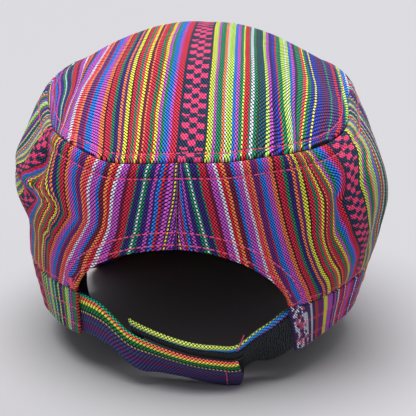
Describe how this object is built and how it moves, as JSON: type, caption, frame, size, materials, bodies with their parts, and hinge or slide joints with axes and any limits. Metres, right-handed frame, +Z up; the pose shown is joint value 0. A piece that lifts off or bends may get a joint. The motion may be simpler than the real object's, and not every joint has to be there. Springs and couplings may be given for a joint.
{
  "type": "cadet cap",
  "caption": "Soft cadet cap of striped woven cotton with a domed top, a headband, a short peak and an arched back opening closed by overlapping hook and loop straps.",
  "frame": {"origin": "on the surface the cap stands on, under the middle of its outline seen from above", "axes": "+Z up, +Y towards the front with the peak, +X towards the wearer's right"},
  "size_m": [0.1984, 0.252, 0.166],
  "materials": {
    "striped_top": "woven cotton, many narrow warp stripes and one figured band",
    "striped_side": "woven cotton, many narrow warp stripes and one figured band",
    "striped_band": "woven cotton, many narrow warp stripes",
    "striped_peak": "woven cotton over a stiff core, topstitched",
    "striped_strap": "woven cotton, stripes along the strap",
    "sweatband_cloth": "plain black cloth tape",
    "loop_pile": "black brushed loop pile",
    "hook_plastic": "black nylon hooks on a woven base",
    "stitching": "pink sewing thread"
  },
  "bodies": {
    "root": {"top_panel": "striped_top", "side_panel_right": "striped_side", "side_panel_left": "striped_side", "headband": "striped_band", "sweatband": "sweatband_cloth", "peak": "striped_peak", "strap_outer": "striped_strap", "hook_tape": "hook_plastic", "loop_tape": "loop_pile", "strap_inner": "striped_strap"}
  },
  "joints": []
}
